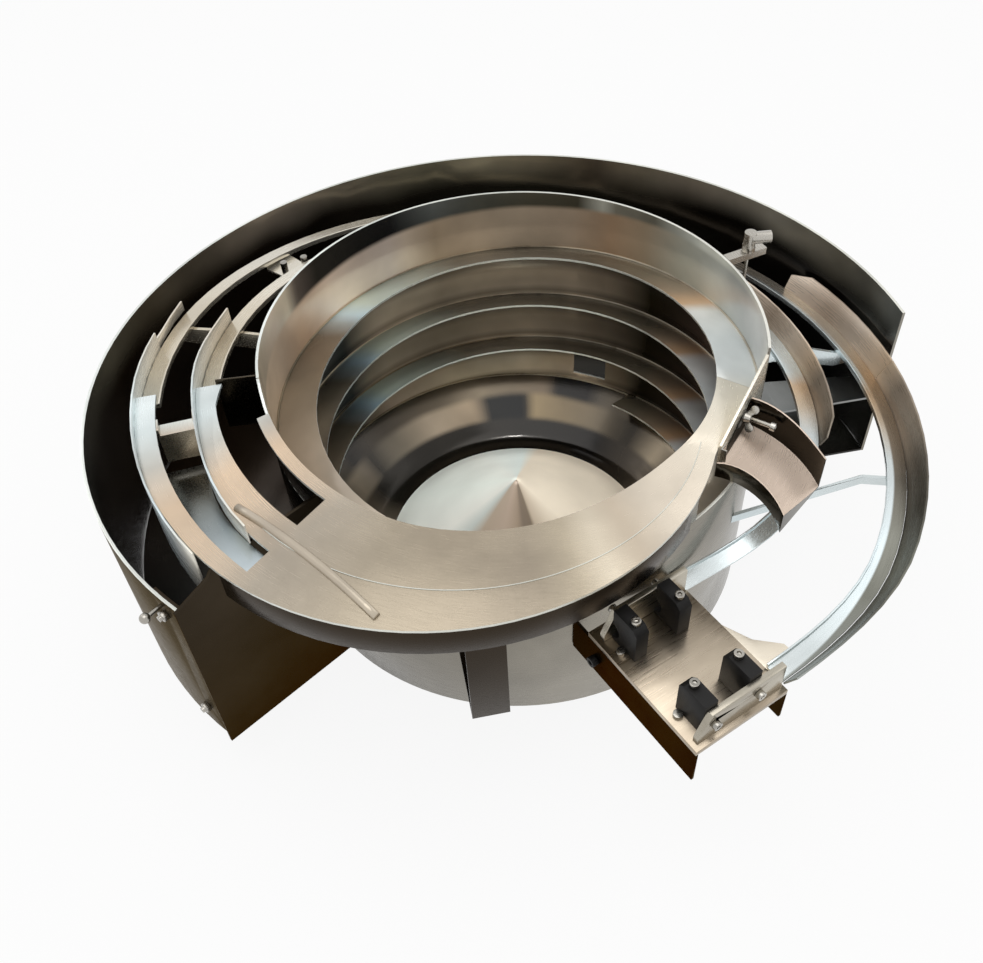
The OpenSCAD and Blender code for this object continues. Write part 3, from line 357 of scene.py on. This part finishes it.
# Dish tones: painted reflections, mostly dark, with rings of painted shade and bright painted
# highlights
dish_steel = steel("dish_steel", [
    (0, "2a2520"), (75, "4a443a"), (100, "8a7d6c"), (118, "25221d"), (150, "2a2620"),
    (180, "1f1c18"), (215, "14110e"), (235, "4a4238"), (250, "8d8070"), (262, "3a342d"),
    (360, "2a2520"),
], 0.16, along="R", wobble=0.03, metal=0.6, zones=[([
    (0, "4b453c"), (90, "696357"), (112, "9c8f7c"), (124, "2a2722"), (136, "746b5c"),
    (150, "aa9a84"), (165, "887863"), (171, "141412"), (184, "0c0c0c"), (188, "77684f"),
    (200, "5f5340"), (214, "564d3f"), (226, "2b261f"), (238, "8d806c"), (250, "4d453a"),
    (300, "39332d"), (360, "4b453c"),
], 0.196, 0.204), ([
    (0, "2b2723"), (100, "8c8272"), (118, "2b2825"), (150, "5b5142"), (170, "6b604f"),
    (192, "5b4f40"), (196, "171411"), (207, "120f0d"), (211, "3a342b"), (232, "6c604f"), (242, "b9ab96"), (255, "3c3831"),
    (360, "2b2723"),
], 0.222, 0.232)])


def floor_part(face):
    """0 on the cone, 1 on the flat ring and the dish."""
    return 0 if math.hypot(face.center.x, face.center.y) < 0.1585 else 1


# The spun sheet, in radius and height from its rounded tip out to the rim and back underneath
spun_floor = [
    (0.003, 0.1243), (0.007, 0.1218), (0.014, 0.1170), (0.03, 0.1057), (0.06, 0.0845),
    (0.09, 0.0632), (0.12, 0.0419), (0.146, 0.0235), (0.152, 0.0193), (0.157, 0.0163),
    (0.162, 0.0151), (0.17, 0.0150), (0.1745, 0.0151), (0.178, 0.0158), (0.182, 0.0178),
    (0.188, 0.0220), (0.2, 0.0303), (0.22, 0.0442), (0.24, 0.0581), (0.2497, 0.0649),
    (0.2497, 0.0621), (0.22, 0.0415), (0.179, 0.0120), (0.157, 0.0120), (0.1, 0.0526),
    (0.05, 0.0883), (0.01, 0.1168), (0.003, 0.1205),
]
bpy.ops.object.select_all(action="DESELECT")
bpy.ops.mesh.primitive_circle_add(vertices=128, radius=spun_floor[0][0], fill_type="TRIFAN",
                                  location=(0, 0, spun_floor[0][1]))
floor_sheet = bpy.context.object
floor_sheet.name = "bowl_floor_sheet"
bpy.ops.object.transform_apply(location=True, rotation=False, scale=False)
floor_sheet.data.vertices[0].select = True
bpy.ops.object.mode_set(mode="EDIT")
bpy.ops.mesh.select_mode(type="EDGE")
bpy.ops.mesh.select_all(action="SELECT")
bpy.ops.mesh.region_to_loop()
for (r0, z0), (r1, z1) in zip(spun_floor, spun_floor[1:]):
    bpy.ops.mesh.extrude_edges_move(TRANSFORM_OT_translate={"value": (0, 0, z1 - z0)})
    bpy.ops.transform.resize(value=(r1 / r0, r1 / r0, 1), center_override=(0, 0, 0))
bpy.ops.mesh.fill()
bpy.ops.mesh.select_all(action="SELECT")
bpy.ops.mesh.normals_make_consistent(inside=False)
bpy.ops.object.mode_set(mode="OBJECT")
bpy.ops.object.shade_smooth_by_angle(angle=math.radians(40))
floor_sheet.data.materials.append(cone_steel)
floor_sheet.data.materials.append(dish_steel)
for face in floor_sheet.data.polygons:
    face.material_index = floor_part(face)
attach(floor_sheet, "root")
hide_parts("bowl_floor")
ring_steel = steel("ring_steel", [(0, "8f8d88"), (180, "7d7b76"), (360, "8f8d88")], 0.42)
dress("clamping_ring", ring_steel, edge=0.001)

# Front deck: the polished sheet that runs out of the track, folded once and cut into a band and
# two fingers, with a skirt under its edge, a baffle in the inner slot and a raised strip. The deck's
# tones are painted reflections, and the skirt, the baffle and the bracket are painted dark as painted
# shade.
deck_steel = steel("deck_steel", [
    (0, "a29684"), (12, "a39784"), (25, "9c917f"), (38, "a89e8f"), (50, "ccb79f"), (58, "d8c0a5"),
    (66, "c6c3ba"), (75, "dee7e7"), (88, "e7eded"), (110, "cfc6b4"), (250, "d5cfc0"),
    (285, "f0eadb"), (300, "ede4d2"), (318, "e7dbc9"), (330, "e1d5c3"), (338, "d2c3ae"),
    (345, "dbcfba"), (352, "b4a893"), (360, "a29684"),
], 0.24, wobble=0.03, smear=0.2, metal=0.6)
# Painted shade: the sheet under the deck edge, in the slot and on the bracket is painted dark
skirt_painted_shade = steel("skirt_painted_shade", [
    (0, "362e25"), (30, "352d24"), (60, "443b31"), (90, "4e473c"), (320, "5c5348"),
    (335, "443b31"), (360, "362e25"),
], 0.28, smear=0.2)


def cut_side(face):
    """1 on the cut edges of the sheet, which take the painted edge highlight, 0 on its two faces."""
    return int(abs(face.normal.z) < 0.35)


dress("front_deck", deck_steel, sharp=2.0, pick=(cut_side, painted_edge_highlight))
# The fold of the deck catches the light along its whole length: a thin bead there carries a painted
# highlight
crease = []
for s in range(306, 405, 2):
    off = math.radians(s - 40.5)
    share = (s - 306) / 98
    crease.append(round_bowl(s, 0.082 * math.cos(off) + math.sqrt(
        0.236 ** 2 - (0.082 * math.sin(off)) ** 2), 0.303 + 0.018 * share + 0.0001))
bead("deck_crease", crease, 0.0006, painted_edge_highlight)
dress("slot_baffle", skirt_painted_shade)
# Ramp tones: painted reflection, blue-grey near the slot end and grey-brown further on
ramp_steel = steel("ramp_steel", [
    (0, "a8b0b2"), (42, "b5bfc3"), (50, "98a0a2"), (60, "7f827e"), (72, "8d8a80"), (360, "a8b0b2"),
], 0.3, smear=0.15)
dress("slot_ramp", ramp_steel)
dress("deflector_strip", track_steel, edge=0, sharp=50)
for name in ("deck_skirt", "deck_bracket"):
    dress(name, skirt_painted_shade)

# Gate and chute: a flat gate clamped by a wing nut, and a chute folded from one sheet whose
# floor is painted pale and whose walls are painted dark, a painted reflection of the dark under the
# deck.
chute_steel = steel("chute_steel", [(0, "c4b2a1"), (290, "d0beae"), (360, "c4b2a1")], 0.3,
                    smear=0.1, grain=0.04, metal=0.7)
# Painted reflection of the dark under the deck on the chute walls, with a narrow painted highlight
chute_wall_painted_reflection = steel("chute_wall_painted_reflection", [(0, "3a352e"), (295, "3a352e"), (303, "6a655b"), (312, "2b2722"),
                                  (360, "3a352e")], 0.16)
dress("dump_chute", chute_steel, pick=(lambda face: int(abs(face.normal.z) < 0.7), chute_wall_painted_reflection))
dress("dump_gate", deck_steel)
screw_steel = steel("screw_steel", [(0, "b0aca4"), (120, "a5a19a"), (250, "b6b2aa"),
                                    (360, "b0aca4")], 0.24, smear=0.3)
for name in ("gate_screw", "wing_nut", "gate_clip"):
    dress(name, screw_steel, edge=0.0003)

# Lanes: two narrow strips with an upstanding inner edge, guards beside them, and flat bars that
# carry them from the bowl wall. The strips are brushed; their pale tones and the brighter tones of
# the guards, which change round the bowl, are painted reflections and painted shade.
lane_steel = steel("lane_steel", [
    (0, "d3dada"), (60, "d6dcda"), (90, "d9d0bf"), (110, "d1c7b4"), (128, "ded8cb"),
    (170, "ded7c8"), (215, "b8a996"), (235, "c9cfd0"), (255, "dce6e8"), (262, "d2dcdd"),
    (266, "cdb292"), (272, "c3b29c"), (280, "d5dcdc"), (300, "d8e3e6"), (325, "dfe6e6"),
    (360, "d3dada"),
], 0.24, along="R", smear=0.16, grain=0.06, metal=0.8, zones=[([
    (0, "d3dada"), (215, "b8a996"), (250, "c9c4b8"), (262, "b39c80"), (272, "8b7b68"),
    (284, "6d665b"), (296, "85857c"), (308, "6f6f67"), (322, "8f928c"), (360, "d3dada"),
], 0.3945, 0.397)])
guard_steel = steel("guard_steel", [
    (0, "dfe6e6"), (48, "e4e0d4"), (56, "dce8ec"), (66, "b7bcba"), (80, "dfe9ea"), (100, "e8dfcf"),
    (120, "e2d8c8"), (200, "ac9a87"), (225, "cbb7a3"), (238, "dccbb9"), (246, "b9a693"),
    (254, "d9c9b7"), (262, "cdb69b"), (267, "8f8273"), (275, "a09383"), (282, "6a6257"),
    (292, "5a564c"), (302, "77776c"), (312, "5b5a52"), (322, "8d918c"), (360, "dfe6e6"),
], 0.28, smear=0.2, grain=0.06, metal=0.45)
for name in ("inner_lane", "outer_lane"):
    dress(name, lane_steel)
for name in ("inner_front_guard", "outer_front_guard", "outer_side_guard", "inner_rear_guard",
             "outer_fan_guard", "outer_right_guard"):
    dress(name, guard_steel)
# Bridge face: tan, with a painted highlight from 78°
bridge_steel = steel("bridge_steel", [(0, "c8b6a3"), (74, "c8b6a3"), (78, "dfe6e2"),
                                      (360, "c8b6a3")], 0.3, smear=0.2)
dress("lane_bridge", bridge_steel)
for name in ("rear_bracket", "lane_ties", "lane_strut"):
    dress(name, lane_steel)
dress("rear_bracket_pins", screw_steel, edge=0.0003)


def settle(share):
    """Runs from 0 to 1 with a level start and end."""
    share = max(0.0, min(1.0, share))
    return share * share * (3 - 2 * share)


# Fillet welds on both sides of each bar, where it meets the bowl wall
for place in (104, 156, 190, 222, 254):
    fall = 0.095 * (0.69 * settle((place - 84.5) / 165))
    top = 0.302 - fall - 0.0024
    for number, side in enumerate((-0.52, 0.52)):
        bead("tie_weld_%d_%d" % (place, number), [
            round_bowl(place + side, 0.2536, top - 0.0006 - 0.0188 * step / 12
                       ) for step in range(13)], 0.0013, weld_steel)

# Return pan: highly polished sheet that mirrors the room; its dark tones are painted reflection and
# painted shade, and the soft lighter smears near its rim are painted reflections.
pan_high = [
    (0, "4b483f"), (46, "696c66"), (60, "4b4b45"), (80, "54514b"), (97, "7e7866"), (112, "7b6f5a"),
    (140, "968a7b"), (165, "87816c"), (178, "a29981"), (196, "665a4b"), (205, "8a816f"),
    (212, "a89c8a"), (228, "a59f90"), (243, "878172"), (252, "8d8a7e"), (258, "8d908a"),
    (270, "696963"), (360, "4b483f"),
]
pan_low = [
    (0, "33302a"), (46, "51544e"), (58, "2d2a27"), (75, "2d2d2a"), (86, "4b453f"), (100, "302418"),
    (140, "211b15"), (180, "333027"), (215, "18150f"), (245, "0c0909"), (256, "4b4b45"),
    (261, "2d2a27"), (360, "33302a"),
]
pan_steel = steel("pan_steel", pan_low, 0.2, zones=[(pan_high, 0.235, 0.275)], smear=0.3,
                  metal=0.6)
# End plate and shelf: dark tones are painted shade, lighter near 255–275° as painted reflection
plate_dark = steel("plate_dark", [
    (0, "2a241c"), (38, "352e26"), (44, "3c352c"), (50, "39322a"), (60, "322c24"), (255, "8d8f8e"),
    (275, "9a9c9b"), (360, "2a241c"),
], 0.34)


# Outside of the pan: darker towards the front left, painted reflection and painted shade
pan_outside = steel("pan_outside", [
    (0, "4a443b"), (48, "4a443b"), (62, "5f5a52"), (85, "6c6860"), (110, "827d74"), (150, "8f8a80"),
    (200, "7b766d"), (235, "8c877e"), (262, "9a968d"), (360, "4a443b"),
], 0.32, wobble=0.05, smear=0.2, metal=0.85)


def dull_glance(finish):
    """Tints the sheet's reflection brown, so it gives little white back at a flat angle."""
    shade = finish.node_tree.nodes["Principled BSDF"]
    shade.inputs["Specular Tint"].default_value = linear("b1a797")


dull_glance(plate_dark)
dull_glance(pan_outside)


def pan_side(face):
    """0 inside the pan, 1 outside, 2 on its top edge, which takes the painted edge highlight."""
    if face.normal.z > 0.7 and face.center.z > 0.2825:
        return 2
    return int(face.normal.x * face.center.x + face.normal.y * face.center.y > 0)


dress("pan_wall", pan_steel, pick=(pan_side, pan_outside, painted_edge_highlight))
dress("pan_floor", pan_steel)
for name in ("pan_end_plate", "end_shelf"):
    dress(name, plate_dark)
for name in ("end_plate_screws", "end_plate_knob"):
    dress(name, screw_steel, edge=0.0003)


# Discharge plate: a brushed plate on two side plates, with two guide rails held by four black
# blocks. The brushing runs along the rails, and soft brown smears lie on it. The side plates are
# painted dark as shade, and the gusset painted pale as light.
def brushed(name, dark, light, rough, heading, patches=9.0):
    """Flat brushed sheet: lines along a heading in the plan, and smears between two tones."""
    made = bpy.data.materials.new(name)
    made.use_nodes = True
    tree = made.node_tree
    shade = tree.nodes["Principled BSDF"]
    shade.inputs["Metallic"].default_value = 1.0
    place = put(tree, "TexCoord").outputs["Object"]
    laid = put(tree, "Mapping", {"Vector": place, "Rotation": (0, 0, math.radians(-heading))})
    pulled = put(tree, "Mapping", {"Vector": laid.outputs[0], "Scale": (0.05, 1, 1)})
    cloud = put(tree, "TexNoise", {
        "Vector": put(tree, "Mapping", {"Vector": laid.outputs[0], "Scale": (0.45, 1, 1)}).outputs[0],
        "Scale": patches, "Detail": 4.0, "Roughness": 0.6})
    ramp = put(tree, "ValToRGB", {"Fac": cloud.outputs["Fac"]})
    ramp.color_ramp.elements[0].position = 0.34
    ramp.color_ramp.elements[0].color = linear(dark)
    ramp.color_ramp.elements[1].position = 0.62
    ramp.color_ramp.elements[1].color = linear(light)
    tree.links.new(ramp.outputs["Color"], shade.inputs["Base Color"])
    lines = put(tree, "TexNoise", {"Vector": pulled.outputs[0], "Scale": 700.0, "Detail": 5.0})
    dull = put(tree, "MapRange", {"Value": lines.outputs["Fac"], "To Min": rough * 0.6,
                                  "To Max": rough * 1.4})
    tree.links.new(dull.outputs[0], shade.inputs["Roughness"])
    relief = put(tree, "Bump", {"Strength": 0.3, "Distance": 0.0003,
                                "Height": lines.outputs["Fac"]})
    tree.links.new(relief.outputs["Normal"], shade.inputs["Normal"])
    return made


plate_steel = brushed("plate_steel", "7d7060", "bdb09d", 0.3, 33.0)
# Side plates painted dark as shade
side_plate_painted_shade = brushed("side_plate_painted_shade", "292219", "382f24", 0.3, 0.0)
dull_glance(side_plate_painted_shade)
rail_steel = brushed("rail_steel", "938c7f", "bcb6a8", 0.3, 33.0, patches=14.0)
# Gusset painted pale as light
gusset_painted_light = brushed("gusset_painted_light", "dccfba", "e9dfcd", 0.32, 0.0)
dress("tool_plate", plate_steel)
dress("tool_side_left", side_plate_painted_shade)
dress("tool_side_right", side_plate_painted_shade)
dress("tool_gusset", gusset_painted_light)
for name in ("near_guide_rail", "far_guide_rail"):
    dress(name, rail_steel)
black = bpy.data.materials.new("black_acetal")
black.use_nodes = True
tree = black.node_tree
shade = tree.nodes["Principled BSDF"]
grit = put(tree, "TexNoise", {"Vector": put(tree, "TexCoord").outputs["Object"], "Scale": 900.0,
                              "Detail": 3.0})
soot = put(tree, "ValToRGB", {"Fac": grit.outputs["Fac"]})
soot.color_ramp.elements[0].color = linear("0f0e0e")
soot.color_ramp.elements[1].color = linear("1c1b1a")
tree.links.new(soot.outputs["Color"], shade.inputs["Base Color"])
sheen = put(tree, "MapRange", {"Value": grit.outputs["Fac"], "To Min": 0.42, "To Max": 0.62})
tree.links.new(sheen.outputs[0], shade.inputs["Roughness"])
shade.inputs["Specular IOR Level"].default_value = 0.25
for name in ("near_clamp_blocks", "far_clamp_blocks", "side_plate_screw"):
    dress(name, black, edge=0.0006)
for name in ("clamp_screws", "base_screws", "rail_screws", "guard_screws"):
    dress(name, screw_steel, edge=0.0003)

# Air jet: a square bar on the bowl wall with a push-in elbow and a thin pipe below it.
for name in ("air_bar", "air_elbow", "air_pipe"):
    dress(name, screw_steel, edge=0.0004)
